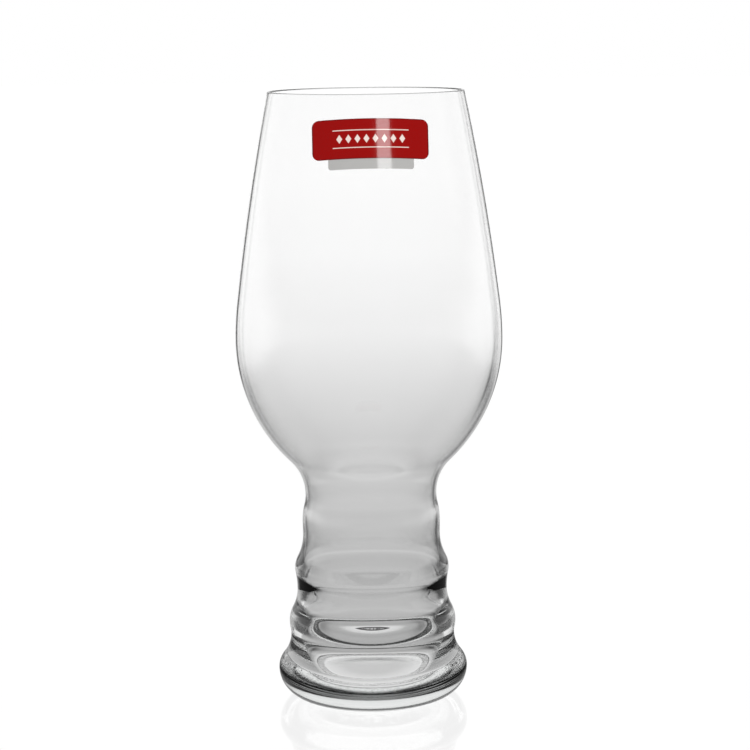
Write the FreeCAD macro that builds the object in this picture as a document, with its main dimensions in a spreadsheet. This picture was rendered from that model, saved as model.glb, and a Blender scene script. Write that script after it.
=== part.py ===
import FreeCAD
import Part
import Sketcher
import math
import os

# A tall beer glass for pale ales, blown in one piece: a thin tulip bowl stands on a hollow
# stem with three ripples, above a heavy rounded foot that rests on a narrow ring.
# A die-cut film label lies on the front of the bowl, just under the rim.
# The frame is +Z up, in millimetres, with the origin on the table under the glass's axis.
# The label faces -Y.

# Driving dimensions. Heights are above the table and radii are from the axis. A crest or a
# crease has a height and an outer radius, a wall there, and the curve of its bulge.
SIZES = [
    # The rim and the tulip bowl
    ("rim_height", 187.0),
    ("rim_radius", 29.75),
    ("rim_wall", 0.95),
    ("lip_flat", 0.1),
    ("side_curve", 765.0),
    ("shoulder_curve", 92.6),
    ("bowl_height", 112.0),
    ("bowl_radius", 40.85),
    ("bowl_wall", 1.0),
    ("bowl_curve", 52.1),
    # The neck, where the bowl meets the stem
    ("neck_height", 63.4),
    ("neck_radius", 20.2),
    ("neck_wall", 1.0),
    # The upper ripple, a faint one, and the crease under it
    ("upper_crest_height", 55.0),
    ("upper_crest_radius", 21.25),
    ("upper_crest_wall", 1.15),
    ("upper_crest_curve", 21.6),
    ("upper_crease_height", 51.0),
    ("upper_crease_radius", 21.17),
    ("upper_crease_wall", 1.2),
    # The middle ripple, which widens downward to a tight crest, and the crease under it
    ("middle_crest_height", 39.9),
    ("middle_crest_radius", 23.88),
    ("middle_crest_wall", 2.15),
    ("middle_crest_curve", 7.7),
    ("middle_crest_undercurve", 2.5),
    ("middle_cavity_curve", 12.0),
    ("lower_crease_height", 33.7),
    ("lower_crease_radius", 23.19),
    ("lower_crease_wall", 2.75),
    # The lower ripple and the crease over the foot. The cavity runs straight down from the ripple
    ("lower_crest_height", 23.3),
    ("lower_crest_radius", 25.82),
    ("lower_crest_wall", 4.02),
    ("lower_cavity_height", 25.0),
    ("lower_crest_curve", 8.4),
    ("lower_crest_undercurve", 9.3),
    ("foot_crease_height", 19.6),
    ("foot_crease_radius", 25.37),
    # The foot, a quarter round down to the ring that it rests on, round a shallow punt
    ("foot_height", 8.6),
    ("foot_radius", 29.3),
    ("foot_curve", 5.7),
    ("ring_width", 2.4),
    ("ring_rounding", 0.8),
    ("punt_depth", 2.2),
    # The floor of the cavity
    ("floor_height", 7.0),
    ("floor_corner", 3.0),
    # The film label: a panel with a narrower tab under it, cut from one flat piece, so that
    # its straight edges bow upward on the leaning side of the bowl
    ("film", 0.12),
    ("label_drop", 6.9),
    ("panel_width", 33.8),
    ("panel_depth", 11.4),
    ("panel_corner", 2.0),
    ("tab_width", 24.8),
    ("tab_depth", 2.95),
    ("tab_corner", 0.8),
    ("edge_bow", 150.0),
    # How far a cutter reaches past what it cuts
    ("overrun", 4.0),
]

# Places and curves that follow from the sizes
PLACES = [
    ("lip_rounding", "(sizes.rim_wall - sizes.lip_flat) / 2"),
    ("punt_radius", "sizes.foot_radius - sizes.foot_height - sizes.ring_width"),
    ("base_cavity_height", "sizes.floor_height + sizes.floor_corner"),
    ("base_cavity_radius", "sizes.lower_crest_radius - sizes.lower_crest_wall"),
    ("crest_cavity_height", "sizes.lower_cavity_height"),
    ("crest_cavity_radius", "places.base_cavity_radius"),
    ("low_cavity_height", "sizes.lower_crease_height"),
    ("low_cavity_radius", "sizes.lower_crease_radius - sizes.lower_crease_wall"),
    ("mid_cavity_height", "sizes.middle_crest_height"),
    ("mid_cavity_radius", "sizes.middle_crest_radius - sizes.middle_crest_wall"),
    ("fold_cavity_height", "sizes.upper_crease_height"),
    ("fold_cavity_radius", "sizes.upper_crease_radius - sizes.upper_crease_wall"),
    ("top_cavity_height", "sizes.upper_crest_height"),
    ("top_cavity_radius", "sizes.upper_crest_radius - sizes.upper_crest_wall"),
    ("neck_cavity_height", "sizes.neck_height"),
    ("neck_cavity_radius", "sizes.neck_radius - sizes.neck_wall"),
    ("bowl_cavity_height", "sizes.bowl_height"),
    ("bowl_cavity_radius", "sizes.bowl_radius - sizes.bowl_wall"),
    ("bowl_cavity_curve", "sizes.bowl_curve - sizes.bowl_wall"),
    ("shoulder_cavity_curve", "sizes.shoulder_curve - sizes.bowl_wall"),
    ("side_cavity_curve", "sizes.side_curve - sizes.bowl_wall"),
    ("rim_cavity_height", "sizes.rim_height"),
    ("rim_cavity_radius", "sizes.rim_radius - sizes.rim_wall"),
    ("mouth_height", "sizes.rim_height + sizes.overrun"),
    ("film_curve", "sizes.side_curve + sizes.film"),
    ("label_top", "sizes.rim_height - sizes.label_drop"),
    ("panel_low", "sizes.rim_height - sizes.label_drop - sizes.panel_depth"),
    ("tab_low", "places.panel_low - sizes.tab_depth"),
    ("tab_top", "places.label_top - sizes.panel_depth / 2"),
    ("film_low", "places.tab_low - sizes.overrun"),
    ("film_high", "sizes.rim_height"),
]

START, END, CENTRE = 1, 2, 3
ORIGIN = (-1, START)
AXIS = -2
CLOSE = 0.001
UP = FreeCAD.Vector(0, 0, 1)
FRONT = FreeCAD.Vector(0, -1, 0)

doc = FreeCAD.newDocument("ipa_glass")


def make_sheet(name, cells, lead):
    """A sheet of named cells: a label in column A and what the cell holds in column B."""
    sheet = doc.addObject("Spreadsheet::Sheet", name)
    for row, (alias, held) in enumerate(cells, start=1):
        sheet.set(f"A{row}", alias.replace("_", " "))
        sheet.set(f"B{row}", f"{lead}{held}")
        sheet.setAlias(f"B{row}", alias)
    doc.recompute()
    return sheet


sizes = make_sheet("sizes", SIZES, "")
places = make_sheet("places", PLACES, "=")


def value(cell):
    """The number in a cell, given as sheet.alias. A sketch is first drawn at these numbers."""
    sheet, alias = cell.split(".")
    return float(doc.getObject(sheet).get(alias))


class Outline:
    """A closed chain of edges in the XZ plane, where x is a radius and y is a height."""

    def __init__(self, sketch):
        self.sketch = sketch
        self.first = None
        self.last = None
        self.tip = None

    def rule(self, kind, *where):
        """Add a constraint, without a size unless where ends with one."""
        return self.sketch.addConstraint(Sketcher.Constraint(kind, *where))

    def bind(self, name, cell, kind, *where):
        """Add a sized constraint under a name and tie its size to a cell."""
        self.sketch.renameConstraint(self.rule(kind, *where, value(cell)), name)
        self.sketch.setExpression(f"Constraints.{name}", cell)

    def link(self, near, far, smooth):
        """Hang an edge on the chain by its near end and leave its far end open."""
        if self.last is None:
            self.first = near
        else:
            self.rule("Tangent" if smooth else "Coincident", *self.last, *near)
        self.last = far

    def line(self, start, finish, smooth=False):
        """Draw a straight edge."""
        ends = [FreeCAD.Vector(*point, 0) for point in (start, finish)]
        edge = self.sketch.addGeometry(Part.LineSegment(*ends), False)
        self.link((edge, START), (edge, END), smooth)
        return edge

    def arc(self, centre, radius, begin, finish, smooth=False):
        """Draw a round edge from the angle begin to the angle finish."""
        circle = Part.Circle(FreeCAD.Vector(*centre, 0), UP, radius)
        span = sorted((begin, finish))
        edge = self.sketch.addGeometry(Part.ArcOfCircle(circle, *span), False)
        near, far = (START, END) if begin < finish else (END, START)
        self.link((edge, near), (edge, far), smooth)
        return edge

    def put(self, name, vertex, radius, height):
        """Hold a vertex at the radius and the height that two cells give."""
        self.bind(f"{name}_radius", radius, "DistanceX", *ORIGIN, *vertex)
        self.bind(f"{name}_height", height, "DistanceY", *ORIGIN, *vertex)

    def level(self, edge, vertex):
        """Keep an arc's centre level with its end, so that the wall is upright there."""
        self.rule("Horizontal", edge, CENTRE, *vertex)

    def close(self):
        """Tie the last end to the first."""
        self.rule("Coincident", *self.last, *self.first)


def rise(outline, low, high, bulge=None):
    """Climb from one station to the next by two arcs that meet smoothly, upright at both
    ends. The wider station turns over the bulge's curve and the narrower one takes the rest.
    With no curve given, they share it equally.
    """
    low_radius, low_height = value(f"{low}_radius"), value(f"{low}_height")
    high_radius, high_height = value(f"{high}_radius"), value(f"{high}_height")
    across = abs(high_radius - low_radius)
    up = high_height - low_height
    both = (across**2 + up**2) / (2 * across)
    convex = value(bulge) if bulge else both / 2
    hollow = both - convex
    turn = math.atan2(up, both - across)
    station = high.split(".")[1]
    if low_radius > high_radius:
        below = outline.arc((low_radius - convex, low_height), convex, 0, turn)
        outline.level(below, (below, START))
        above = outline.arc(
            (high_radius + hollow, high_height), hollow, math.pi + turn, math.pi, smooth=True
        )
        swelling = below
    else:
        below = outline.arc((low_radius + hollow, low_height), hollow, math.pi, math.pi - turn)
        outline.level(below, (below, END))
        above = outline.arc((high_radius - convex, high_height), convex, -turn, 0, smooth=True)
        swelling = above
    outline.put(station, outline.last, f"{high}_radius", f"{high}_height")
    outline.level(above, outline.last)
    if bulge:
        outline.bind(f"{station}_bend", bulge, "Radius", swelling)
    else:
        outline.rule("Equal", below, above)


def lean(outline, bowl, rim, shoulder, side, wall):
    """Close the bowl in from its widest station: a shoulder arc that starts upright, the long
    arc of the side, which aims at the rim's corner, and the round of the lip, which ends level
    with the rim. Wall is 1 where the glass lies inside the outline and -1 where it lies
    outside. Returns the side's edge.
    """
    bowl_radius, bowl_height = value(f"{bowl}_radius"), value(f"{bowl}_height")
    rim_radius, rim_height = value(f"{rim}_radius"), value(f"{rim}_height")
    near, far, lip = value(shoulder), value(side), value("places.lip_rounding")
    gap = far - near
    start = (bowl_radius - near, bowl_height)
    run = (rim_radius - start[0], rim_height - start[1])
    span = math.hypot(*run)
    along = (gap**2 - far**2 + span**2) / (2 * span)
    aside = math.sqrt(gap**2 - along**2)
    centre = (
        start[0] + (run[0] * along - run[1] * aside) / span,
        start[1] + (run[1] * along + run[0] * aside) / span,
    )
    turn = math.atan2(start[1] - centre[1], start[0] - centre[0])
    lip_height = rim_height - lip
    up = lip_height - centre[1]
    out = math.sqrt((far - wall * lip) ** 2 - up**2)
    meet = math.atan2(up, out)

    shoulder_edge = outline.arc(start, near, 0, turn)
    outline.level(shoulder_edge, (shoulder_edge, START))
    outline.bind("shoulder_bend", shoulder, "Radius", shoulder_edge)
    side_edge = outline.arc(centre, far, turn, meet, smooth=True)
    outline.bind("side_bend", side, "Radius", side_edge)
    mark = FreeCAD.Vector(rim_radius, rim_height, 0)
    corner = outline.sketch.addGeometry(Part.Point(mark), True)
    outline.put("rim", (corner, START), f"{rim}_radius", f"{rim}_height")
    outline.rule("PointOnObject", corner, START, side_edge)
    opening = meet if wall > 0 else math.pi + meet
    lip_centre = (centre[0] + out, lip_height)
    lip_edge = outline.arc(lip_centre, lip, opening, math.pi / 2, smooth=True)
    outline.bind("lip_bend", "places.lip_rounding", "Radius", lip_edge)
    outline.bind("lip_height", f"{rim}_height", "DistanceY", *ORIGIN, *outline.last)
    outline.rule("Vertical", lip_edge, CENTRE, *outline.last)
    outline.tip = (lip_centre[0], rim_height)
    return side_edge


def shut_on_axis(outline, radius, height, foot):
    """Run in to the axis at the top of an outline, and down it to the first vertex."""
    top = outline.line((radius, height), (0, height))
    outline.rule("Horizontal", top)
    outline.rule("PointOnObject", *outline.last, AXIS)
    outline.line((0, height), (0, foot))
    outline.close()


def plane_sketch(body, name):
    """A sketch of a body on the body's own XZ plane."""
    sketch = body.newObject("Sketcher::SketchObject", name)
    plane = next(item for item in body.Origin.OriginFeatures if item.Role == "XZ_Plane")
    sketch.AttachmentSupport = [(plane, "")]
    sketch.MapMode = "FlatFace"
    return sketch


def turned(body, kind, name, sketch):
    """Turn a sketch once round the upright axis, to add or to cut."""
    feature = body.newObject(f"PartDesign::{kind}", name)
    feature.Profile = sketch
    feature.ReferenceAxis = (sketch, ["V_Axis"])
    feature.Angle = 360
    doc.recompute()
    return feature


def rounded(body, name, base, radius, height, cell):
    """Round the circular edge of a feature that has this radius and height."""
    picked = []
    for number, edge in enumerate(base.Shape.Edges, start=1):
        if edge.Degenerated or not isinstance(edge.Curve, Part.Circle):
            continue
        ring = edge.Curve
        if abs(ring.Radius - radius) < CLOSE and abs(ring.Center.z - height) < CLOSE:
            picked.append(f"Edge{number}")
    feature = body.newObject("PartDesign::Fillet", name)
    feature.Base = (base, picked)
    feature.setExpression("Radius", cell)
    doc.recompute()
    return feature


def draw_outside(sketch):
    """The half section of the glass without its cavity, from the punt up to the rim."""
    outline = Outline(sketch)
    depth = value("sizes.punt_depth")
    punt_radius = value("places.punt_radius")
    dome = (punt_radius**2 + depth**2) / (2 * depth)
    edge_angle = math.atan2(dome - depth, punt_radius)
    punt = outline.arc((0, depth - dome), dome, math.pi / 2, edge_angle)
    outline.rule("PointOnObject", *outline.first, AXIS)
    outline.rule("PointOnObject", punt, CENTRE, AXIS)
    outline.bind("punt_depth", "sizes.punt_depth", "DistanceY", *ORIGIN, *outline.first)
    outline.bind("punt_radius", "places.punt_radius", "DistanceX", *ORIGIN, *outline.last)
    outline.rule("PointOnObject", *outline.last, -1)

    foot_radius = value("sizes.foot_radius")
    foot_height = value("sizes.foot_height")
    ring = outline.line((punt_radius, 0), (foot_radius - foot_height, 0))
    outline.rule("Horizontal", ring)
    centre = (foot_radius - foot_height, foot_height)
    underside = outline.arc(centre, foot_height, -math.pi / 2, 0, smooth=True)
    outline.put("foot", outline.last, "sizes.foot_radius", "sizes.foot_height")
    outline.level(underside, outline.last)

    rise(outline, "sizes.foot", "sizes.foot_crease", "sizes.foot_curve")
    rise(outline, "sizes.foot_crease", "sizes.lower_crest", "sizes.lower_crest_undercurve")
    rise(outline, "sizes.lower_crest", "sizes.lower_crease", "sizes.lower_crest_curve")
    rise(outline, "sizes.lower_crease", "sizes.middle_crest", "sizes.middle_crest_undercurve")
    rise(outline, "sizes.middle_crest", "sizes.upper_crease", "sizes.middle_crest_curve")
    rise(outline, "sizes.upper_crease", "sizes.upper_crest")
    rise(outline, "sizes.upper_crest", "sizes.neck", "sizes.upper_crest_curve")
    rise(outline, "sizes.neck", "sizes.bowl", "sizes.bowl_curve")
    side = lean(
        outline, "sizes.bowl", "sizes.rim", "sizes.shoulder_curve", "sizes.side_curve", wall=1
    )
    shut_on_axis(outline, *outline.tip, depth)

    # The place of the side's centre, measured for the label, which lies on the same curve
    for name, kind in (("side_centre_radius", "DistanceX"), ("side_centre_height", "DistanceY")):
        measure = outline.rule(kind, *ORIGIN, side, CENTRE, 1.0)
        sketch.setDriving(measure, False)
        sketch.renameConstraint(measure, name)


def draw_cavity(sketch):
    """The half section of the hollow. Its ripples are softer than those outside."""
    outline = Outline(sketch)
    floor = value("sizes.floor_height")
    corner = value("sizes.floor_corner")
    inset = value("places.base_cavity_radius") - corner
    level = outline.line((0, floor), (inset, floor))
    outline.rule("Horizontal", level)
    outline.rule("PointOnObject", *outline.first, AXIS)
    bend = outline.arc((inset, floor + corner), corner, -math.pi / 2, 0, smooth=True)
    outline.bind("floor_corner", "sizes.floor_corner", "Radius", bend)
    outline.put("base", outline.last, "places.base_cavity_radius", "places.base_cavity_height")
    outline.level(bend, outline.last)

    straight = outline.line(
        (inset + corner, floor + corner), (inset + corner, value("places.crest_cavity_height"))
    )
    outline.rule("Vertical", straight)
    outline.bind("crest_height", "places.crest_cavity_height", "DistanceY", *ORIGIN, *outline.last)
    rise(outline, "places.crest_cavity", "places.low_cavity")
    rise(outline, "places.low_cavity", "places.mid_cavity")
    rise(outline, "places.mid_cavity", "places.fold_cavity", "sizes.middle_cavity_curve")
    rise(outline, "places.fold_cavity", "places.top_cavity")
    rise(outline, "places.top_cavity", "places.neck_cavity")
    rise(outline, "places.neck_cavity", "places.bowl_cavity", "places.bowl_cavity_curve")
    lean(
        outline,
        "places.bowl_cavity",
        "places.rim_cavity",
        "places.shoulder_cavity_curve",
        "places.side_cavity_curve",
        wall=-1,
    )
    mouth_radius = outline.tip[0]
    mouth_height = value("places.mouth_height")
    upright = outline.line(outline.tip, (mouth_radius, mouth_height))
    outline.rule("Vertical", upright)
    outline.bind("mouth_height", "places.mouth_height", "DistanceY", *ORIGIN, *outline.last)
    shut_on_axis(outline, mouth_radius, mouth_height, floor)


def make_glass():
    """The blown piece: turned solid, hollowed out, with a soft edge inside the resting ring."""
    body = doc.addObject("PartDesign::Body", "glass")
    outside_sketch = plane_sketch(body, "outside")
    draw_outside(outside_sketch)
    solid = turned(body, "Revolution", "blank", outside_sketch)
    cavity_sketch = plane_sketch(body, "cavity")
    draw_cavity(cavity_sketch)
    hollow = turned(body, "Groove", "hollow", cavity_sketch)
    print("cavity to the brim, ml:", round((solid.Shape.Volume - hollow.Shape.Volume) / 1000, 1))
    rounded(body, "ring_edge", hollow, value("places.punt_radius"), 0, "sizes.ring_rounding")
    return body


def draw_film(sketch):
    """The section of a band of film that lies on the side of the bowl."""
    outline = Outline(sketch)
    outside = doc.getObject("outside")
    centre_radius = outside.getDatum("side_centre_radius").Value
    centre_height = outside.getDatum("side_centre_height").Value
    low, high = value("places.film_low"), value("places.film_high")

    def point(curve, height):
        """The angle and the place on an arc of the side at a height."""
        angle = math.asin((height - centre_height) / curve)
        return angle, (centre_radius + curve * math.cos(angle), height)

    inner, outer = value("sizes.side_curve"), value("places.film_curve")
    inner_low, inner_low_point = point(inner, low)
    inner_high, inner_high_point = point(inner, high)
    outer_low, outer_low_point = point(outer, low)
    outer_high, outer_high_point = point(outer, high)
    centre = (centre_radius, centre_height)
    back = outline.arc(centre, inner, inner_low, inner_high)
    outline.bind("film_low", "places.film_low", "DistanceY", *ORIGIN, *outline.first)
    outline.bind("film_high", "places.film_high", "DistanceY", *ORIGIN, *outline.last)
    top = outline.line(inner_high_point, outer_high_point)
    front = outline.arc(centre, outer, outer_high, outer_low)
    bottom = outline.line(outer_low_point, inner_low_point)
    outline.close()
    outline.rule("Horizontal", top)
    outline.rule("Horizontal", bottom)
    outline.rule("Coincident", back, CENTRE, front, CENTRE)
    outline.bind("back_curve", "sizes.side_curve", "Radius", back)
    outline.bind("front_curve", "places.film_curve", "Radius", front)
    for name, kind in (("side_centre_radius", "DistanceX"), ("side_centre_height", "DistanceY")):
        place = outside.getDatum(name).Value
        sketch.renameConstraint(outline.rule(kind, *ORIGIN, back, CENTRE, place), name)
        sketch.setExpression(f"Constraints.{name}", f"outside.Constraints.{name}")


def draw_strip(sketch, width, low, high, corner):
    """A strip with round corners, whose two long edges bow upward by the same curve."""
    outline = Outline(sketch)
    bow = value("sizes.edge_bow")
    side, rounding = value(width) / 2, value(corner)
    reach = side - rounding
    low_centre = value(low) - bow
    high_centre = value(high) - bow
    low_corner = low_centre + math.sqrt((bow + rounding) ** 2 - reach**2)
    high_corner = high_centre + math.sqrt((bow - rounding) ** 2 - reach**2)
    low_angle = math.asin(reach / (bow + rounding))
    high_angle = math.asin(reach / (bow - rounding))
    quarter = math.pi / 2

    bottom = outline.arc((0, low_centre), bow, quarter + low_angle, quarter - low_angle)
    corners = [
        outline.arc((reach, low_corner), rounding, -quarter - low_angle, 0, smooth=True)
    ]
    right = outline.line((side, low_corner), (side, high_corner), smooth=True)
    corners.append(
        outline.arc((reach, high_corner), rounding, 0, quarter - high_angle, smooth=True)
    )
    top = outline.arc(
        (0, high_centre), bow, quarter - high_angle, quarter + high_angle, smooth=True
    )
    corners.append(
        outline.arc(
            (-reach, high_corner), rounding, quarter + high_angle, math.pi, smooth=True
        )
    )
    left = outline.line((-side, high_corner), (-side, low_corner), smooth=True)
    corners.append(
        outline.arc(
            (-reach, low_corner), rounding, math.pi, 3 * quarter + low_angle, smooth=True
        )
    )
    outline.rule("Tangent", *outline.last, *outline.first)
    for name, edge, height in (("low", bottom, low), ("high", top, high)):
        outline.rule("PointOnObject", edge, CENTRE, AXIS)
        outline.bind(f"{name}_bow", "sizes.edge_bow", "Radius", edge)
        index = outline.rule("DistanceY", *ORIGIN, edge, CENTRE, value(height) - bow)
        sketch.renameConstraint(index, f"{name}_edge")
        sketch.setExpression(f"Constraints.{name}_edge", f"{height} - sizes.edge_bow")
    outline.bind("corner", corner, "Radius", corners[0])
    for other in corners[1:]:
        outline.rule("Equal", corners[0], other)
    for name, edge, sign in (("right", right, ""), ("left", left, "-")):
        outline.rule("Vertical", edge)
        reach_x = side if edge == right else -side
        index = outline.rule("DistanceX", *ORIGIN, edge, START, reach_x)
        sketch.renameConstraint(index, name)
        sketch.setExpression(f"Constraints.{name}", f"{sign}{width} / 2")


def upright_sketch(name):
    """A sketch that stands in the XZ plane of the document."""
    sketch = doc.addObject("Sketcher::SketchObject", name)
    sketch.Placement = FreeCAD.Placement(
        FreeCAD.Vector(), FreeCAD.Rotation(FreeCAD.Vector(1, 0, 0), 90)
    )
    return sketch


def make_die(name, *cells):
    """The blade for one strip of the label, from the axis out past the front of the bowl."""
    sketch = upright_sketch(f"{name}_sketch")
    draw_strip(sketch, *cells)
    die = doc.addObject("Part::Extrusion", name)
    die.Base = sketch
    die.DirMode = "Custom"
    die.Dir = FRONT
    die.Solid = True
    die.setExpression("LengthFwd", "sizes.bowl_radius + sizes.overrun")
    return die


def make_label():
    """The label: what two dies cut from a band of film round the bowl."""
    film_sketch = upright_sketch("film_sketch")
    draw_film(film_sketch)
    band = doc.addObject("Part::Revolution", "film_band")
    band.Source = film_sketch
    band.Axis = UP
    band.Angle = 360
    band.Solid = True
    panel = ("sizes.panel_width", "places.panel_low", "places.label_top", "sizes.panel_corner")
    tab = ("sizes.tab_width", "places.tab_low", "places.tab_top", "sizes.tab_corner")
    die = doc.addObject("Part::Fuse", "die")
    die.Base = make_die("panel_die", *panel)
    die.Tool = make_die("tab_die", *tab)
    label = doc.addObject("Part::Common", "label")
    label.Base = band
    label.Tool = die
    doc.recompute()
    return label


parts = {"glass": make_glass(), "label": make_label()}
doc.recompute()

for item in doc.Objects:
    faults = {"Invalid", "Error"} & set(item.State)
    if faults:
        raise RuntimeError(f"{item.Name} is {faults}")
for name, item in parts.items():
    item.Label = name
    if item.Shape.isNull() or not item.Shape.isValid():
        raise RuntimeError(f"{name} has no sound shape")
    box = item.Shape.BoundBox
    print(name, "solids", len(item.Shape.Solids), "volume", round(item.Shape.Volume, 1))
    print("  box", [round(number, 3) for number in (box.XMin, box.YMin, box.ZMin)])
    print("  to ", [round(number, 3) for number in (box.XMax, box.YMax, box.ZMax)])

os.makedirs("parts", exist_ok=True)
for name, item in parts.items():
    item.Shape.exportStep(f"parts/{name}.step")
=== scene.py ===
# %% [markdown]
# # A tulip beer glass on a white table
#
# The object is one blown glass with a small film label under its rim. Clear glass has no
# colour of its own: what we see in it is the room, bent by its walls. So this lesson spends
# its effort on three things. They are a very smooth, exact wall with its true thickness, a
# room with bright and dark places for the wall to bend, and a label that catches one lamp.

# %% The frame
import math

import bmesh
import bpy
import numpy as np
from mathutils import Matrix


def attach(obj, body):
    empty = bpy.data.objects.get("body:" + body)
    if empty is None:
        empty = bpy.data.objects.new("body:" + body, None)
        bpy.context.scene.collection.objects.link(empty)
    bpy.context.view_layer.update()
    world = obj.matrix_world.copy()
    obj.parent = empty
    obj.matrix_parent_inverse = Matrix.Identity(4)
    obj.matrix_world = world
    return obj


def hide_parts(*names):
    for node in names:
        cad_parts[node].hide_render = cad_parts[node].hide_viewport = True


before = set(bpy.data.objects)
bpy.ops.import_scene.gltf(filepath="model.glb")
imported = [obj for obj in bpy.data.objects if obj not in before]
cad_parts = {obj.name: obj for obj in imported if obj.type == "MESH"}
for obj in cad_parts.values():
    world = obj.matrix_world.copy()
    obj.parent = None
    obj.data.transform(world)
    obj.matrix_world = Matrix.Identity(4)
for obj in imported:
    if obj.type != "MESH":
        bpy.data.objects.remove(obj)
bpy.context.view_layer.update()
MM = 0.001

# %% [markdown]
# ## The camera
#
# The photograph was taken from about 0.7 m away, a little above the rim, with a long lens.
# The label faces -Y, and the camera stands 2.4 degrees to the left of it. The camera also
# leans by under a degree, which shows as a glass that isn't quite upright in the picture.

# %% Camera
CAMERA_DISTANCE = 0.7021
CAMERA_HEIGHT = 0.2115
CAMERA_AROUND = math.radians(2.4)
CAMERA_PAN = math.radians(0.141)
CAMERA_PITCH = math.radians(9.007)
CAMERA_LEAN = math.radians(-0.73)
LENS_MM = 111.2

camera = bpy.data.objects.new("camera", bpy.data.cameras.new("camera"))
camera.data.lens = LENS_MM
camera.data.sensor_width = 36.0
camera.data.clip_start = 0.05
camera.matrix_world = (
    Matrix.Translation((-CAMERA_DISTANCE * math.sin(CAMERA_AROUND),
                        -CAMERA_DISTANCE * math.cos(CAMERA_AROUND), CAMERA_HEIGHT))
    @ Matrix.Rotation(-CAMERA_AROUND - CAMERA_PAN, 4, "Z")
    @ Matrix.Rotation(math.pi / 2 - CAMERA_PITCH, 4, "X")
    @ Matrix.Rotation(CAMERA_LEAN, 4, "Z"))
bpy.context.scene.collection.objects.link(camera)
bpy.context.scene.camera = camera
bpy.context.scene.view_settings.view_transform = "Standard"
print("camera at", [round(v, 3) for v in camera.matrix_world.translation])

# %% [markdown]
# ## The outline of the wall
#
# A blown glass is round, so one half-section turned about its axis gives the whole wall. The
# section could be drawn as a spline, but a spline ripples between its points, and in clear
# glass every ripple shows. Tangent arcs are what the mould maker cuts, and they keep the
# surface smooth.
#
# The wall is given by its stations, a radius and a height each: the foot, the crests and
# creases of the ripples, the neck, the bowl's widest place and the rim. At each of them the
# wall stands upright. The cavity passes the same stations, farther in by the wall there.

# %% Stations of the wall
FOOT = (29.3, 8.6)
FOOT_CREASE = (25.37, 19.6)
LOWER_CREST, LOWER_CREASE = (25.82, 23.3), (23.19, 33.7)
MIDDLE_CREST = (23.88, 39.9)
UPPER_CREASE, UPPER_CREST = (21.17, 51.0), (21.25, 55.0)
NECK, BOWL, RIM = (20.2, 63.4), (40.85, 112.0), (29.75, 187.0)
BOWL_CURVE, SHOULDER_CURVE, SIDE_CURVE = 52.1, 92.6, 765.0
BOWL_WALL, RIM_WALL, LIP_FLAT = 1.0, 0.95, 0.1
LIP = (RIM_WALL - LIP_FLAT) / 2
PUNT_DEPTH, RING_WIDTH, RING_ROUNDING = 2.2, 2.4, 0.8
FLOOR, FLOOR_CORNER, CAVITY_UPRIGHT_TO = 7.0, 3.0, 25.0
LOWER_CREST_WALL = 4.02
CAVITY_BASE = LOWER_CREST[0] - LOWER_CREST_WALL
print("stations from the foot at", FOOT, "to the rim at", RIM)

# %% [markdown]
# Between two stations the wall takes two arcs that meet smoothly: one swells and one is
# hollow. The arcs are kept as rows, and each row ends an arc: how far out, how high, and the
# arc's radius. A positive radius swells, a negative one is hollow, and 0 is straight.

# %% From one station to the next


def climb(low, high, bulge=None):
    """Two rows from one station up to the next. The bulge is the swelling arc's radius. Without
    it the two arcs share the way equally.
    """
    across, up = abs(high[0] - low[0]), high[1] - low[1]
    both = (across ** 2 + up ** 2) / (2 * across)
    swelling = bulge or both / 2
    hollow = both - swelling
    turn = math.atan2(up, both - across)
    lower = swelling if low[0] > high[0] else hollow
    inwards = -1 if low[0] > high[0] else 1
    meet = (low[0] + inwards * lower * (1 - math.cos(turn)), low[1] + lower * math.sin(turn))
    signed = (swelling, -hollow) if low[0] > high[0] else (-hollow, swelling)
    return [(*meet, signed[0]), (*high, signed[1])]


def climb_all(station, steps):
    rows = []
    for following, bulge in steps:
        rows += climb(station, following, bulge)
        station = following
    return rows


def side_centre(bowl, rim, shoulder, side):
    """The centre of the side's long arc, which leaves the shoulder's arc smoothly and aims at the rim."""
    start = np.array((bowl[0] - shoulder, bowl[1]))
    run = np.array(rim) - start
    span = math.hypot(*run)
    gap = side - shoulder
    along = (gap ** 2 - side ** 2 + span ** 2) / (2 * span)
    aside = math.sqrt(gap ** 2 - along ** 2)
    return start + (run * along + np.array((-run[1], run[0])) * aside) / span


def lean(bowl, rim, shoulder, side, lip):
    """Three rows from the bowl's widest place: the shoulder, the side and the round of the lip."""
    start = np.array((bowl[0] - shoulder, bowl[1]))
    centre = side_centre(bowl, rim, shoulder, side)
    turn = math.atan2(start[1] - centre[1], start[0] - centre[0])
    up = rim[1] - abs(lip) - centre[1]
    out = math.sqrt((side - lip) ** 2 - up ** 2)
    meet = math.atan2(up, out)
    shoulder_end = start + shoulder * np.array((math.cos(turn), math.sin(turn)))
    side_end = centre + side * np.array((math.cos(meet), math.sin(meet)))
    return [(*shoulder_end, shoulder), (*side_end, side), (centre[0] + out, rim[1], lip)]


def underside(foot):
    """The punt, the rounding of the ring's inner edge, the ring and the foot's quarter round."""
    ring_outer = foot[0] - foot[1]
    punt_radius = ring_outer - RING_WIDTH
    dome = (punt_radius ** 2 + PUNT_DEPTH ** 2) / (2 * PUNT_DEPTH)
    rise_to_rounding = dome - PUNT_DEPTH + RING_ROUNDING
    far = dome + RING_ROUNDING
    ring_inner = math.sqrt(far ** 2 - rise_to_rounding ** 2)
    punt_edge = (ring_inner * dome / far, PUNT_DEPTH - dome + rise_to_rounding * dome / far)
    return [(0, PUNT_DEPTH, 0), (*punt_edge, -dome), (ring_inner, 0, RING_ROUNDING), (ring_outer, 0, 0),
            (*foot, foot[1])]


def within(station, wall):
    """The place on the cavity that faces a station through the wall there."""
    return (station[0] - wall, station[1])


print("helpers ready")

# %% [markdown]
# Each step below names the next station and the radius of the arc that swells. For the cavity
# it also gives the wall at that station. With None the two arcs share the way equally.

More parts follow.
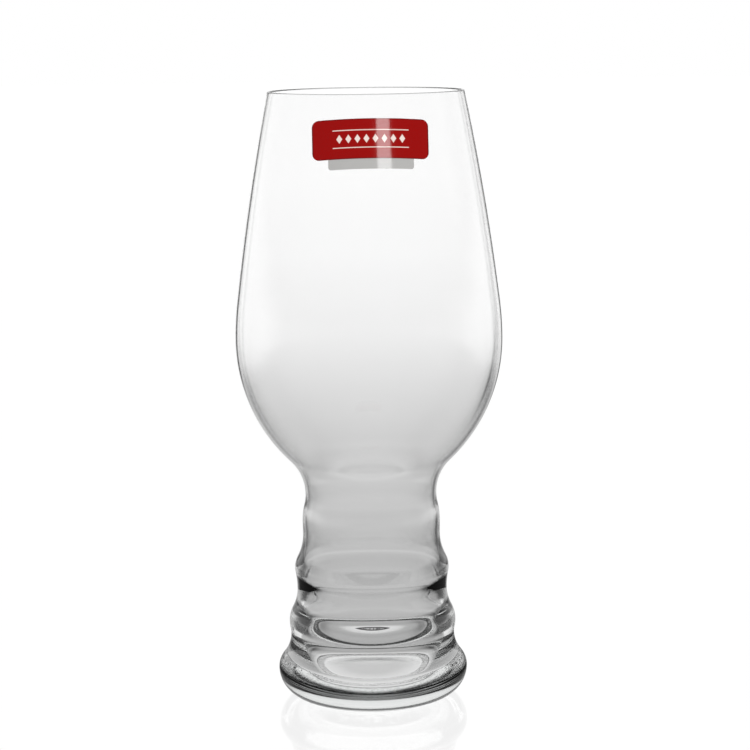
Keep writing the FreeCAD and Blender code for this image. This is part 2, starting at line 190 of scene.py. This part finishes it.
# %% Outline of the outside and the cavity
OUTSIDE = (
    underside(FOOT)
    + climb_all(FOOT, [(FOOT_CREASE, 5.7), (LOWER_CREST, 9.3), (LOWER_CREASE, 8.4), (MIDDLE_CREST, 2.5),
                       (UPPER_CREASE, 7.7), (UPPER_CREST, None), (NECK, 21.6), (BOWL, BOWL_CURVE)])
    + lean(BOWL, RIM, SHOULDER_CURVE, SIDE_CURVE, LIP))
CAVITY = (
    [(0, FLOOR, 0), (CAVITY_BASE - FLOOR_CORNER, FLOOR, 0),
     (CAVITY_BASE, FLOOR + FLOOR_CORNER, FLOOR_CORNER), (CAVITY_BASE, CAVITY_UPRIGHT_TO, 0)]
    + climb_all((CAVITY_BASE, CAVITY_UPRIGHT_TO), [
        (within(LOWER_CREASE, 2.75), None), (within(MIDDLE_CREST, 2.15), None),
        (within(UPPER_CREASE, 1.2), 12.0), (within(UPPER_CREST, 1.15), None),
        (within(NECK, 1.0), None), (within(BOWL, BOWL_WALL), BOWL_CURVE - BOWL_WALL)])
    + lean(within(BOWL, BOWL_WALL), within(RIM, RIM_WALL), SHOULDER_CURVE - BOWL_WALL,
           SIDE_CURVE - BOWL_WALL, -LIP))


def arc(start, stop, radius, turn=math.radians(4), step=1.3):
    """Points after start, up to stop, on the arc between them. A straight run takes longer steps."""
    start, stop = np.array(start, float), np.array(stop, float)
    run = stop - start
    length = float(np.hypot(*run))
    if radius == 0:
        count = max(2, math.ceil(length / (3 * step)))
        return [start + run * share for share in np.linspace(0, 1, count + 1)[1:]]
    half = math.asin(length / 2 / abs(radius))
    side = np.array((-run[1], run[0])) / length * math.copysign(1, radius)
    centre = (start + stop) / 2 + side * abs(radius) * math.cos(half)
    count = max(2, math.ceil(2 * half / turn), math.ceil(2 * half * abs(radius) / step))
    first = start - centre
    spin = math.copysign(2 * half, radius)

    def turned_by(angle):
        return centre + (first[0] * math.cos(angle) - first[1] * math.sin(angle),
                         first[0] * math.sin(angle) + first[1] * math.cos(angle))

    return [turned_by(angle) for angle in np.linspace(0, spin, count + 1)[1:]]


def outline(rows):
    """The whole half-section in metres, from rows in millimetres."""
    points = [np.array(rows[0][:2], float)]
    for before, row in zip(rows, rows[1:]):
        points += arc(before[:2], row[:2], row[2])
    return np.array(points) * MM


outside, cavity = outline(OUTSIDE), outline(CAVITY)
print("outline points:", len(outside), "outside,", len(cavity), "inside")

# %% [markdown]
# ## Turning the wall
#
# Blender's Screw modifier could turn the section, but its normals come from flat faces.
# Bent light shows every facet, so the mesh is written here as a grid of rings, and each
# corner gets the exact normal of the curved wall. No blown wall is perfectly even, so the
# cavity is also moved inwards by a few hundredths of a millimetre in long, slow waves. Each
# wave has a share of that depth, a number of swells round the glass, a start and a rise. The
# 216 columns round the axis keep the mesh under 200,000 triangles.

# %% The glass as a grid of rings
AROUND = 216
WAVE_DEPTH = 0.05 * MM
WAVES = [(0.40, 2, 0.9, 31), (0.25, 3, -2.1, 17), (0.20, 5, 1.7, -23), (0.15, 1, -0.4, 11)]
CALM_UNDER_RIM, CALM_NEAR_AXIS = 12, 16


def turned(section, around, push):
    """A closed mesh from a half-section whose two ends lie on the axis, with its exact normals."""
    angles = np.linspace(0, 2 * math.pi, around, endpoint=False)
    radius = section[1:-1, 0][:, None] - push(section[1:-1], angles)
    height = np.repeat(section[1:-1, 1][:, None], around, 1)
    rings = np.stack((radius * np.cos(angles), radius * np.sin(angles), height), -1)
    full = np.concatenate((np.broadcast_to((0, 0, section[0, 1]), (1, around, 3)), rings,
                           np.broadcast_to((0, 0, section[-1, 1]), (1, around, 3))))
    along = np.r_[0, np.cumsum(np.hypot(*np.diff(section, axis=0).T))]
    up = np.gradient(full, along, axis=0)[1:-1]
    round_ = (np.roll(rings, -1, 1) - np.roll(rings, 1, 1))
    normals = np.cross(round_, up)
    normals /= np.linalg.norm(normals, axis=-1, keepdims=True)
    count = len(section) - 2
    verts = np.concatenate((rings.reshape(-1, 3), [(0, 0, section[0, 1]), (0, 0, section[-1, 1])]))
    ring = np.arange(count * around).reshape(count, around)
    after = np.roll(ring, -1, 1)
    quads = np.stack((ring[:-1], after[:-1], after[1:], ring[1:]), -1).reshape(-1, 4)
    low, high = count * around, count * around + 1
    caps = [(low, int(b), int(a)) for a, b in zip(ring[0], after[0])]
    caps += [(high, int(a), int(b)) for a, b in zip(ring[-1], after[-1])]
    all_normals = np.concatenate((normals.reshape(-1, 3), [(0, 0, -1), (0, 0, 1)]))
    return verts, quads.tolist() + caps, all_normals


def hand_waves(points, angles):
    """How far the maker's breath and tools left the wall thicker, on the cavity side only."""
    height = points[:, 1][:, None] / MM
    radius = points[:, 0][:, None] / MM
    waves = sum(share * np.sin(swells * angles + start + height / rise)
                for share, swells, start, rise in WAVES)
    inside = (np.arange(len(points)) > len(outside)).astype(float)[:, None]
    calm = np.clip((RIM[1] - height) / CALM_UNDER_RIM, 0, 1) * np.clip(radius / CALM_NEAR_AXIS, 0, 1) ** 2
    return WAVE_DEPTH * inside * calm * (1 + waves) / 2


section = np.concatenate((outside, cavity[::-1]))
verts, faces, normals = turned(section, AROUND, hand_waves)
glass_mesh = bpy.data.meshes.new("blown_glass")
glass_mesh.from_pydata(verts.tolist(), [], faces)
glass_mesh.polygons.foreach_set("use_smooth", [True] * len(faces))
glass_mesh.normals_split_custom_set_from_vertices(normals.tolist())
blown_glass = bpy.data.objects.new("blown_glass", glass_mesh)
bpy.context.scene.collection.objects.link(blown_glass)
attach(blown_glass, "root")
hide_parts("glass")
print("blown glass:", len(verts), "corners,", 2 * len(faces), "triangles at most")

# %% [markdown]
# ## The label film
#
# The label is cut flat and wrapped on the cone of the bowl, so its long edges bow upwards in
# the middle. A boolean with a bent cutter would leave ragged corners. Instead each column of
# the film runs between an upper and a lower edge curve, and the corners' roundings are part
# of those curves. The tab hangs on the panel's lower edge and shares its corners.

# %% The film's edges
SIDE_CENTRE = side_centre(BOWL, RIM, SHOULDER_CURVE, SIDE_CURVE)
FILM = 0.12
SUNK = 0.02
BOW = 150.0
PANEL = {"half": 16.9, "top": 180.1, "low": 168.7, "corner": 2.0}
TAB = {"half": 12.4, "low": 165.75, "corner": 0.8}


def edge(x, half, level, corner, sign):
    """The height of a bowed edge at x, rounded down or up into the straight sides."""
    bowed = level - BOW + math.sqrt(BOW ** 2 - x ** 2)
    inner = half - corner
    if abs(x) <= inner:
        return bowed
    at = level - BOW + math.sqrt(BOW ** 2 - inner ** 2)
    drop = corner - math.sqrt(max(corner ** 2 - (abs(x) - inner) ** 2, 0))
    return at - sign * drop - inner * (abs(x) - inner) / BOW


def side_at(height, proud):
    """The bowl's outer radius at a height, or that of a film standing proud of it."""
    return SIDE_CENTRE[0] + math.sqrt((SIDE_CURVE + proud) ** 2 - (height - SIDE_CENTRE[1]) ** 2)


def round_corner(sheet):
    """Columns that share out the turn of a sheet's corner evenly."""
    inner, radius = sheet["half"] - sheet["corner"], sheet["corner"]
    return [inner + radius * math.sin(math.radians(a)) for a in range(10, 91, 10)]


def columns():
    """Where the film's columns stand, closest together round the corners."""
    middle = np.linspace(0, TAB["half"] - TAB["corner"], 22)
    beside = np.linspace(TAB["half"], PANEL["half"] - PANEL["corner"], 6)
    right = sorted(set(np.round(np.r_[middle, round_corner(TAB), beside, round_corner(PANEL)], 5)))
    return [-x for x in right[:0:-1]] + right


xs = columns()
PANEL_ROWS, TAB_ROWS = 12, 5
tab_xs = [x for x in xs if abs(x) <= TAB["half"]]


def on_side(x, height, proud):
    radius = side_at(height, proud)
    return (x * MM, -math.sqrt(radius ** 2 - x ** 2) * MM, height * MM)


def upper_edge(x):
    return edge(x, PANEL["half"], PANEL["top"], PANEL["corner"], 1)


def lower_edge(x, sheet):
    return edge(x, sheet["half"], sheet["low"], sheet["corner"], -1)


panel_edges = [(x, upper_edge(x), lower_edge(x, PANEL)) for x in xs]
tab_edges = [(x, lower_edge(x, PANEL), lower_edge(x, TAB)) for x in tab_xs]
print("film:", len(xs), "columns; the panel is", round(upper_edge(0) - lower_edge(0, PANEL), 2), "mm high")

# %% The film as one closed sheet
bm = bmesh.new()


def row_of(edges, share):
    """One row of corners, that share of the way from the upper edge to the lower."""
    return [bm.verts.new(on_side(x, high + (low - high) * share, -SUNK)) for x, high, low in edges]


panel = [row_of(panel_edges, k / PANEL_ROWS) for k in range(PANEL_ROWS + 1)]
over_tab = [v for v, x in zip(panel[-1], xs) if abs(x) <= TAB["half"]]
tab = [over_tab] + [row_of(tab_edges, k / TAB_ROWS) for k in range(1, TAB_ROWS + 1)]
for sheet in (panel, tab):
    for upper, lower in zip(sheet, sheet[1:]):
        for a, b, c, d in zip(upper, upper[1:], lower[1:], lower):
            bm.faces.new((a, d, c, b))
raised = bmesh.ops.extrude_face_region(bm, geom=bm.faces[:], use_keep_orig=True)
for v in [g for g in raised["geom"] if isinstance(g, bmesh.types.BMVert)]:
    v.co = on_side(v.co.x / MM, v.co.z / MM, FILM)
bmesh.ops.recalc_face_normals(bm, faces=bm.faces[:])
for e in bm.edges:
    e.smooth = e.calc_face_angle(0) < math.radians(40)
for f in bm.faces:
    f.smooth = True
film_mesh = bpy.data.meshes.new("label_film")
bm.to_mesh(film_mesh)
bm.free()
label_film = bpy.data.objects.new("label_film", film_mesh)
bpy.context.scene.collection.objects.link(label_film)
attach(label_film, "root")
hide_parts("label")
print("label film:", len(film_mesh.vertices), "corners")

# %% [markdown]
# ## Nodes without the clutter
#
# A material is a graph, and a graph written call by call is hard to read. These helpers make
# a node and join it in one line, so that each finish below reads from top to bottom.

# %% Node helpers


def tree_of(owner):
    owner.use_nodes = True
    owner.node_tree.nodes.clear()
    return owner.node_tree


def node(tree, kind, sets=None, **inputs):
    """Adds a node, sets its own properties, and fills or links its inputs by name or number."""
    made = tree.nodes.new("ShaderNode" + kind)
    for key, setting in (sets or {}).items():
        setattr(made, key, setting)
    for key, given in inputs.items():
        numbered = key[0] == "n" and key[1:].isdigit()
        socket = made.inputs[int(key[1:]) if numbered else key.replace("_", " ")]
        if isinstance(given, bpy.types.NodeSocket):
            tree.links.new(given, socket)
        else:
            socket.default_value = given
    return made


def sums(tree, operation, *numbers, clamp=False):
    """One Math node: its operation on numbers or sockets."""
    sets = {"operation": operation, "use_clamp": clamp}
    return node(tree, "Math", sets, **{f"n{i}": v for i, v in enumerate(numbers)}).outputs[0]


def times(tree, first, second):
    return sums(tree, "MULTIPLY", first, second)


def fade(tree, number, start, stop, first=0.0, last=1.0, smooth=False):
    """Goes from first to last while the number goes from start to stop, and holds beyond them."""
    sets = {"interpolation_type": "SMOOTHSTEP" if smooth else "LINEAR"}
    made = node(tree, "MapRange", sets, Value=number, From_Min=start, From_Max=stop,
                To_Min=first, To_Max=last)
    return made.outputs[0]


def blend_colour(tree, share, without, fully):
    return node(tree, "Mix", {"data_type": "RGBA"}, n0=share, n6=without, n7=fully).outputs[2]


def tinted(tree, first, second):
    sets = {"data_type": "RGBA", "blend_type": "MULTIPLY"}
    return node(tree, "Mix", sets, n0=1.0, n6=first, n7=second).outputs[2]


def grey(tree, tone):
    return node(tree, "CombineColor", Red=tone, Green=tone, Blue=tone).outputs[0]


def fill_ramp(ramp, rows):
    """Gives a colour ramp its grey stops, from rows of place and tone in rising order."""
    stops = ramp.color_ramp.elements
    for i, (place, tone) in enumerate(rows):
        stop = stops[i] if i < 2 else stops.new(place)
        stop.position = place
        stop.color = (tone, tone, tone, 1)


print("helpers ready")

# %% [markdown]
# ## Clear glass
#
# Soda-lime or crystal glass bends light by an index of about 1.52. Its body takes a little
# more red than green, which shows only where the light runs a long way inside, as in the
# foot. So the tint is an absorption inside the wall and not a colour on its surface.
#
# The ring that the glass stands on carries short pressed strokes, so that the foot doesn't
# cling to a wet table, and the hollow inside the ring is faintly grainy from the mould. Both
# are far finer than the mesh, so they are bumps: noise stretched along the radius for the
# strokes, round noise for the grain, and a mask by radius that keeps each in its place.

# %% Glass, from its underside
GLASS_INDEX = 1.52
BODY_TINT, BODY_DENSITY = (0.80, 0.90, 0.86, 1), 3.0
RING = {"inner": 17.4, "inner_soft": 0.3, "outer": 21.2, "outer_soft": 0.4}
STROKES = {"count": 30.0, "along": 0.55, "depth": 0.9}
GRAIN = {"size": 0.5, "depth": 0.06}
UNDERSIDE, UNDERSIDE_SOFT = 3.0, 0.3
glass = bpy.data.materials.new("clear_glass")
clear = tree_of(glass)
in_body = node(clear, "TexCoord").outputs["Object"]
body_place = node(clear, "SeparateXYZ", Vector=in_body)
body_x, body_y, body_z = (body_place.outputs[axis] for axis in "XYZ")
squares = sums(clear, "ADD", times(clear, body_x, body_x), times(clear, body_y, body_y))
from_axis = times(clear, sums(clear, "SQRT", squares), 1 / MM)
under = fade(clear, body_z, UNDERSIDE * MM, (UNDERSIDE + UNDERSIDE_SOFT) * MM, 1.0, 0.0)
past_punt = fade(clear, from_axis, RING["inner"] - RING["inner_soft"], RING["inner"] + RING["inner_soft"])
within_ring = fade(clear, from_axis, RING["outer"] - RING["outer_soft"],
                   RING["outer"] + RING["outer_soft"], 1.0, 0.0)
on_ring = times(clear, times(clear, past_punt, within_ring), under)
in_punt = times(clear, sums(clear, "SUBTRACT", 1.0, past_punt), under)
print("the ring is", round(RING["outer"] - RING["inner"], 1), "mm wide")

# %% Glass, strokes and grain
round_the_axis = times(clear, sums(clear, "ARCTAN2", body_x, body_y), STROKES["count"])
spread = node(clear, "CombineXYZ", X=round_the_axis, Y=times(clear, from_axis, STROKES["along"]))
strokes = node(clear, "TexNoise", {"noise_dimensions": "2D"}, Vector=spread.outputs[0],
               Scale=1.0, Detail=2.0, Roughness=0.6)
mould_grain = node(clear, "TexNoise", Vector=in_body, Scale=1 / (GRAIN["size"] * MM), Detail=1.0)
pressed = times(clear, times(clear, strokes.outputs[0], on_ring), STROKES["depth"])
grainy = times(clear, times(clear, mould_grain.outputs[0], in_punt), GRAIN["depth"])
stippled = node(clear, "Bump", Strength=1.0, Distance=MM, Height=sums(clear, "ADD", pressed, grainy))
glass_shader = node(clear, "BsdfPrincipled", Base_Color=(1, 1, 1, 1), Metallic=0.0, Roughness=0.0,
                    IOR=GLASS_INDEX, Transmission_Weight=1.0, Normal=stippled.outputs[0])
glass_body = node(clear, "VolumeAbsorption", Color=BODY_TINT, Density=BODY_DENSITY)
node(clear, "OutputMaterial", Surface=glass_shader.outputs[0], Volume=glass_body.outputs[0])
blown_glass.data.materials.append(glass)
print("glass bends by", GLASS_INDEX)

# %% [markdown]
# ## The printed film
#
# The print is a red panel over a silver-grey tab. The panel has two thin pale rules with a
# row of small lozenges between them, an ornament that any maker could use. A thin darker band
# along the panel's edges is painted shade. The colours come from where a point lies on the
# film, so the print needs no picture.

# %% Label print, the ornament
LOZENGE = {"pitch": 1.3, "half_wide": 0.85, "half_high": 1.25, "level": 174.4, "row_half": 10.4}
RULES = {"upper": (176.75, 177.0), "lower": (171.8, 172.05), "half": 11.0}
INK_SOFT, FAR_OFF = 0.06, 200
film = bpy.data.materials.new("printed_film")
print_nodes = tree_of(film)
on_film = node(print_nodes, "TexCoord").outputs["Object"]
film_place = node(print_nodes, "SeparateXYZ", Vector=on_film)
across = times(print_nodes, film_place.outputs["X"], 1 / MM)
bow = sums(print_nodes, "DIVIDE", times(print_nodes, across, across), 2 * BOW)
high = sums(print_nodes, "ADD", times(print_nodes, film_place.outputs["Z"], 1 / MM), bow)
aside = sums(print_nodes, "ABSOLUTE", across)


def band(number, low, top, soft=INK_SOFT):
    """1 between low and top, with edges as soft as ink."""
    rise = fade(print_nodes, number, low - soft, low + soft)
    fall = fade(print_nodes, number, top - soft, top + soft, 1.0, 0.0)
    return times(print_nodes, rise, fall)


on_panel = band(high, PANEL["low"], FAR_OFF)
to_and_fro = sums(print_nodes, "PINGPONG", across, LOZENGE["pitch"])
beside_lozenge = sums(print_nodes, "SUBTRACT", LOZENGE["pitch"], to_and_fro)
over_lozenge = sums(print_nodes, "ABSOLUTE", sums(print_nodes, "SUBTRACT", high, LOZENGE["level"]))
lozenge = sums(print_nodes, "ADD", sums(print_nodes, "DIVIDE", beside_lozenge, LOZENGE["half_wide"]),
               sums(print_nodes, "DIVIDE", over_lozenge, LOZENGE["half_high"]))
lozenges = times(print_nodes, band(lozenge, -1, 1.0), band(aside, -1, LOZENGE["row_half"]))
rules = sums(print_nodes, "ADD", band(high, *RULES["upper"]), band(high, *RULES["lower"]))
rules = times(print_nodes, rules, band(aside, -1, RULES["half"]))
ornament = sums(print_nodes, "ADD", lozenges, rules, clamp=True)
print("ornament: two rules and a row of lozenges")

# %% Label print with painted edge shade, its colours and gloss
RED, EDGE_SHADE_RED = (0.262, 0.0012, 0.0008, 1), (0.10, 0.003, 0.005, 1)
PALE, SILVER = (0.72, 0.60, 0.55, 1), (0.385, 0.38, 0.372, 1)
PAINTED_EDGE_SHADE = {"share": 0.75, "sides": 0.35, "top": 0.25, "below": 0.1, "above": 0.3, "soft": 0.12}
# Painted shade: the panel's red turns darker in a thin band along its sides, top and foot.
at_sides = band(aside, PANEL["half"] - PAINTED_EDGE_SHADE["sides"], FAR_OFF, 0.15)
at_top = band(high, PANEL["top"] - PAINTED_EDGE_SHADE["top"], FAR_OFF, PAINTED_EDGE_SHADE["soft"])
at_foot = band(high, PANEL["low"] - PAINTED_EDGE_SHADE["below"], PANEL["low"] + PAINTED_EDGE_SHADE["above"], PAINTED_EDGE_SHADE["soft"])
rim = sums(print_nodes, "MAXIMUM", at_sides, sums(print_nodes, "MAXIMUM", at_top, at_foot))
shaded_panel_red = blend_colour(print_nodes, times(print_nodes, rim, PAINTED_EDGE_SHADE["share"]), RED, EDGE_SHADE_RED)
panel_print_and_shade = blend_colour(print_nodes, ornament, shaded_panel_red, PALE)
film_print_and_shade = blend_colour(print_nodes, on_panel, SILVER, panel_print_and_shade)
film_grain = node(print_nodes, "TexNoise", Vector=on_film, Scale=1800.0, Detail=3.0)
film_ripple = node(print_nodes, "TexNoise", Vector=on_film, Scale=700.0, Detail=2.0)
wavy = node(print_nodes, "Bump", Strength=0.25, Distance=0.02 * MM, Height=film_ripple.outputs["Fac"])
film_rough = fade(print_nodes, film_grain.outputs["Fac"], 0.0, 1.0, 0.05, 0.13)
film_shader = node(print_nodes, "BsdfPrincipled", Base_Color=film_print_and_shade, Roughness=film_rough,
                   Normal=wavy.outputs[0])
node(print_nodes, "OutputMaterial", Surface=film_shader.outputs[0])
label_film.data.materials.append(film)
print("label print: panel and tab")

# %% [markdown]
# ## The room as the glass sees it
#
# Clear glass is drawn by what lies around it. Product photographers put it before a bright
# wall and stand a dark card on each side, just out of the picture: the bright wall fills the
# glass, and the cards draw a thin dark line along its edges. Both the room and the table below
# ask how far round from the middle of that wall a ray looks, so that is a small node group.
# Each row below is an angle from the wall's middle in degrees, and the room's tone there.

# %% Group: round the room
ROUND_THE_ROOM = [(0, 1.0), (14, 1.0), (16, 0.1), (21, 0.1), (24, 0.9), (75, 0.8), (100, 0.3), (180, 0.2)]
room_round = bpy.data.node_groups.new("round_the_room", "ShaderNodeTree")
room_round.interface.new_socket("Direction", in_out="INPUT", socket_type="NodeSocketVector")
room_round.interface.new_socket("Ahead", in_out="OUTPUT", socket_type="NodeSocketFloat")
room_round.interface.new_socket("Tone", in_out="OUTPUT", socket_type="NodeSocketColor")
group_in = room_round.nodes.new("NodeGroupInput")
group_out = room_round.nodes.new("NodeGroupOutput")
flat = node(room_round, "VectorMath", {"operation": "MULTIPLY"}, n0=group_in.outputs[0], n1=(1, 1, 0))
level = node(room_round, "VectorMath", {"operation": "NORMALIZE"}, n0=flat.outputs[0])
facing = node(room_round, "VectorMath", {"operation": "DOT_PRODUCT"}, n0=level.outputs[0], n1=(0, 1, 0))
ahead = facing.outputs["Value"]
room = node(room_round, "ValToRGB", Fac=sums(room_round, "MULTIPLY_ADD", ahead, 0.5, 0.5))
fill_ramp(room, [((math.cos(math.radians(angle)) + 1) / 2, tone) for angle, tone in reversed(ROUND_THE_ROOM)])
room_round.links.new(ahead, group_out.inputs[0])
room_round.links.new(room.outputs[0], group_out.inputs[1])


def round_room(tree, direction):
    """How far ahead a direction looks, as a cosine, and the room's tone there."""
    made = tree.nodes.new("ShaderNodeGroup")
    made.node_tree = room_round
    tree.links.new(direction, made.inputs[0])
    return made.outputs[0], made.outputs[1]


print("group:", room_round.name, "with", len(ROUND_THE_ROOM), "tones")

# %% [markdown]
# ## The table
#
# The table is glossy and so bright that it clips to white, but the foot is faintly mirrored
# in it. So to the camera it is mostly light of its own, with a share of real gloss for the
# mirror.
#
# Through the glass its tone changes with the distance from the foot, and these tones are painted
# light and shade. It is bright in a ring right under the foot, a painted pool of the light that
# the foot gathers as a lens does. Beyond it the table is grey with painted shade, and it is
# brighter again far off. Each row below is a distance in metres and a tone. The table also
# darkens to the sides with painted shade. Near the glass that is a soft change, and farther off
# the cards' own tones take over.

# %% Table top
TABLE_SIZE = 6.0
TABLE_DROP = 0.1 * MM
table_corners = [(x * TABLE_SIZE, y * TABLE_SIZE, 0) for x, y in ((-1, -1), (1, -1), (1, 1), (-1, 1))]
table_mesh = bpy.data.meshes.new("table")
table_mesh.from_pydata(table_corners, [], [(0, 1, 2, 3)])
table = bpy.data.objects.new("table", table_mesh)
table.location.z = -TABLE_DROP
bpy.context.scene.collection.objects.link(table)
print("table:", 2 * TABLE_SIZE, "m wide")

# %% Table, its painted light and shade through the glass
SEEN_THROUGH = [
    (0.0, 0.52), (0.014, 0.52), (0.0155, 0.8), (0.0225, 0.8), (0.026, 0.44), (0.036, 0.38), (0.06, 0.43),
    (0.11, 0.49), (0.17, 0.51), (0.25, 0.58), (0.38, 0.61), (0.49, 0.69), (0.62, 0.78), (0.78, 0.86),
    (1.0, 0.92), (1.3, 0.97), (2.2, 1.0),
]
REACH = 2.5
BEHIND, BESIDE = 1.13, 0.15
LIT_FROM, LIT_TO = 0.75, 0.96
FOOT_CLEAR, CARDS_TAKE_OVER = (0.036, 0.05), (0.3, 0.5)
white_table = bpy.data.materials.new("white_table")
top = tree_of(white_table)
spot = node(top, "NewGeometry").outputs["Position"]
away = node(top, "VectorMath", {"operation": "LENGTH"}, n0=spot).outputs["Value"]
# Painted light and shade by distance: a bright ring under the foot, grey beyond it.
by_distance = node(top, "ValToRGB", Fac=sums(top, "DIVIDE", away, REACH))
fill_ramp(by_distance, [(distance / REACH, tone) for distance, tone in SEEN_THROUGH])
table_ahead, table_round = round_room(top, spot)
# Painted shade: the table darkens to the sides, softly near the glass.
near_tone = grey(top, fade(top, table_ahead, LIT_FROM, LIT_TO, BESIDE, 1.0, smooth=True))
shade = blend_colour(top, fade(top, away, *CARDS_TAKE_OVER), near_tone, table_round)
shade = blend_colour(top, fade(top, away, *FOOT_CLEAR), (1, 1, 1, 1), shade)
bent_tone = tinted(top, tinted(top, by_distance.outputs["Color"], shade), (BEHIND, BEHIND, BEHIND, 1))
print("tones:", len(SEEN_THROUGH), "from the foot to", SEEN_THROUGH[-1][0], "m")

# %% Table, one look for each kind of ray
GLOSS_SHARE, OWN_LIGHT = 0.16, 1.035
path = node(top, "LightPath")
own = node(top, "Emission", Color=(1, 1, 1, 1), Strength=OWN_LIGHT)
gloss = node(top, "BsdfGlossy", Color=(1, 1, 1, 1), Roughness=0.03)
seen = node(top, "MixShader", Fac=GLOSS_SHARE, n1=own.outputs[0], n2=gloss.outputs[0])
bent = node(top, "Emission", Color=bent_tone, Strength=1.0)
plain = node(top, "BsdfDiffuse", Color=(0.9, 0.9, 0.9, 1))
through = sums(top, "MAXIMUM", path.outputs["Is Transmission Ray"], path.outputs["Is Glossy Ray"])
others = node(top, "MixShader", Fac=through, n1=plain.outputs[0], n2=bent.outputs[0])
shown = node(top, "MixShader", Fac=path.outputs["Is Camera Ray"], n1=others.outputs[0], n2=seen.outputs[0])
node(top, "OutputMaterial", Surface=shown.outputs[0])
table.data.materials.append(white_table)
print("table gloss:", GLOSS_SHARE)

# %% [markdown]
# ## The room
#
# To the camera the world is plain white. Matt surfaces are lit by the same white from all
# sides. Only what is mirrored or bent sees the room itself: the bright wall with its cards
# low down, a plainer wall above them, the dark side behind the camera and the ceiling.

# %% World
WALL, UPPER_WALL, CEILING, OPEN_SIDE = 1.11, 0.76, 0.35, 0.1
CARD_TOP = 0.08
SIDE_FADE, CEILING_FADE = (0.1, 0.8), (0.6, 1.0)
world = bpy.data.worlds.new("studio")
bpy.context.scene.world = world
air = tree_of(world)
looking = node(air, "TexCoord").outputs["Generated"]
rise = node(air, "SeparateXYZ", Vector=looking).outputs["Z"]
room_ahead, room_low = round_room(air, looking)
room_high = grey(air, fade(air, room_ahead, *SIDE_FADE, OPEN_SIDE, UPPER_WALL, smooth=True))
around = blend_colour(air, fade(air, rise, 0.0, CARD_TOP), room_low, room_high)
overhead = fade(air, rise, *CEILING_FADE, smooth=True)
around = tinted(air, around, (WALL, WALL, WALL, 1))
room_tone = blend_colour(air, overhead, around, (CEILING, CEILING, CEILING, 1))
sight = node(air, "LightPath")
bends = sums(air, "MAXIMUM", sight.outputs["Is Transmission Ray"], sight.outputs["Is Glossy Ray"])
bends = times(air, bends, sums(air, "SUBTRACT", 1.0, sight.outputs["Is Camera Ray"]))
background = node(air, "Background", Color=blend_colour(air, bends, (1, 1, 1, 1), room_tone), Strength=1.0)
node(air, "OutputWorld", Surface=background.outputs[0])
print("room: wall", WALL, "ceiling", CEILING, "and a dark card on each side")

# %% [markdown]
# ## The strip lamp
#
# One tall soft lamp stands to the right of the camera. The label's curve shows it as an
# upright pale stripe, and its angle was found from where that stripe lies. The clear wall
# doesn't show it, so the lamp is linked to the label alone.

# %% Lamp
STRIP_AROUND = math.radians(15.8)
STRIP_DISTANCE = 1.5
STRIP_WIDTH, STRIP_LENGTH = 0.38, 1.1
STRIP_FOOT = 0.17
STRIP_GLOW = 7.0
strip = bpy.data.objects.new("strip_lamp", bpy.data.lights.new("strip_lamp", "AREA"))
strip.data.shape = "RECTANGLE"
strip.data.size, strip.data.size_y = STRIP_WIDTH, STRIP_LENGTH
strip.data.energy = STRIP_GLOW * math.pi * STRIP_WIDTH * STRIP_LENGTH
strip_place = (STRIP_DISTANCE * math.sin(STRIP_AROUND), -STRIP_DISTANCE * math.cos(STRIP_AROUND),
               STRIP_FOOT + STRIP_LENGTH / 2)
strip.matrix_world = (Matrix.Translation(strip_place) @ Matrix.Rotation(STRIP_AROUND, 4, "Z")
                      @ Matrix.Rotation(math.pi / 2, 4, "X"))
bpy.context.scene.collection.objects.link(strip)
lamp_shows_on = bpy.data.collections.new("shows_the_lamp")
lamp_shows_on.objects.link(label_film)
strip.light_linking.receiver_collection = lamp_shows_on
print("strip lamp:", round(strip.data.energy, 2), "W")
